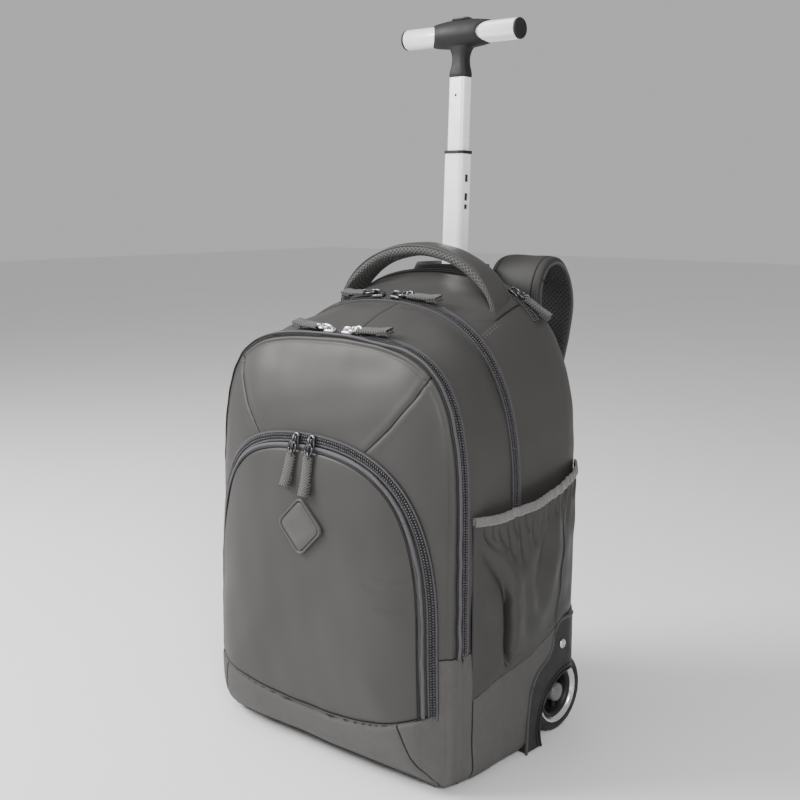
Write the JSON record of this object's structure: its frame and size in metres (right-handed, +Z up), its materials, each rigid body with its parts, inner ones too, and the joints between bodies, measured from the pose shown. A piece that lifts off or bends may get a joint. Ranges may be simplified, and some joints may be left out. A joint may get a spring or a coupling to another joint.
{
  "type": "wheeled backpack",
  "caption": "Soft backpack on a base plate with inset wheels, a telescopic mast with a T-shaped grip, shoulder straps, a top carry handle, zipped compartments and elastic side pockets",
  "frame": {"origin": "Middle of the base plate's underside, on the surface that the backpack stands on", "axes": "+X to the right seen from the front, +Y to the back where the shoulder straps are, +Z up along the mast"},
  "size_m": [0.3676, 0.3347, 0.7572],
  "materials": {
    "coated_fabric": "satin coated weave",
    "zip_tape": "woven tape with plastic coils",
    "webbing": "woven webbing and elastic",
    "mesh_fabric": "knitted spacer mesh",
    "black_plastic": "moulded, fine texture",
    "tyre_rubber": "matte rubber",
    "satin_aluminium": "satin anodised",
    "gunmetal": "plated, semi-bright",
    "badge_rubber": "moulded soft rubber"
  },
  "bodies": {
    "bag": {"mast_sleeve": "satin_aluminium", "mast_collar": "black_plastic", "rear_compartment": "coated_fabric", "middle_compartment": "coated_fabric", "front_compartment": "coated_fabric", "front_pocket": "coated_fabric", "main_zipper": "zip_tape", "laptop_zipper": "zip_tape", "front_zipper": "zip_tape", "pocket_zipper": "zip_tape", "side_pocket_right": "coated_fabric", "side_pocket_left": "coated_fabric", "pocket_trim_right": "webbing", "pocket_trim_left": "webbing", "base_plate": "black_plastic", "wheel_housing_right": "black_plastic", "wheel_housing_left": "black_plastic", "housing_rivet_right": "satin_aluminium", "housing_rivet_left": "satin_aluminium", "wheel_axle_right": "gunmetal", "wheel_axle_left": "gunmetal", "carry_handle": "mesh_fabric", "shoulder_strap_right": "coated_fabric", "shoulder_strap_left": "coated_fabric", "strap_webbing_right": "webbing", "strap_webbing_left": "webbing", "strap_buckle_right": "black_plastic", "strap_buckle_left": "black_plastic", "back_pad_right": "mesh_fabric", "back_pad_left": "mesh_fabric", "slider_front_1": "gunmetal", "tab_front_1": "webbing", "slider_front_2": "gunmetal", "tab_front_2": "webbing", "slider_main_1": "gunmetal", "tab_main_1": "webbing", "slider_main_2": "gunmetal", "tab_main_2": "webbing", "slider_laptop": "gunmetal", "tab_laptop": "webbing", "slider_pocket_1": "gunmetal", "tab_pocket_1": "webbing", "slider_pocket_2": "gunmetal", "tab_pocket_2": "webbing", "badge": "badge_rubber"},
    "mast_lower": {"mast_lower_tube": "satin_aluminium", "mast_ring": "black_plastic"},
    "mast_upper": {"mast_upper_tube": "satin_aluminium", "grip_saddle": "black_plastic", "grip_bar": "satin_aluminium", "grip_cap_right": "black_plastic", "grip_cap_left": "black_plastic"},
    "button": {"grip_button": "gunmetal"},
    "wheel_right": {"tyre_right": "tyre_rubber", "wheel_rim_right": "satin_aluminium", "wheel_hub_right": "black_plastic"},
    "wheel_left": {"tyre_left": "tyre_rubber", "wheel_rim_left": "satin_aluminium", "wheel_hub_left": "black_plastic"}
  },
  "joints": [
    {"name": "mast_lower_slide", "type": "slide", "parent": "bag", "child": "mast_lower", "axis": [0, 0.0384, 0.9993], "range_m": [-0.117, 0.13]},
    {"name": "mast_upper_slide", "type": "slide", "parent": "mast_lower", "child": "mast_upper", "axis": [0, 0.0384, 0.9993], "range_m": [-0.077, 0.13]},
    {"name": "button_press", "type": "slide", "parent": "mast_upper", "child": "button", "axis": [0, 0.0384, 0.9993], "range_m": [-0.0018, 0], "stiffness_N_per_m": 400},
    {"name": "wheel_right_spin", "type": "hinge", "parent": "bag", "child": "wheel_right", "pos_m": [0.1443, 0.076, 0.042], "axis": [1, 0, 0], "continuous": true},
    {"name": "wheel_left_spin", "type": "hinge", "parent": "bag", "child": "wheel_left", "pos_m": [-0.1443, 0.076, 0.042], "axis": [1, 0, 0], "continuous": true}
  ]
}
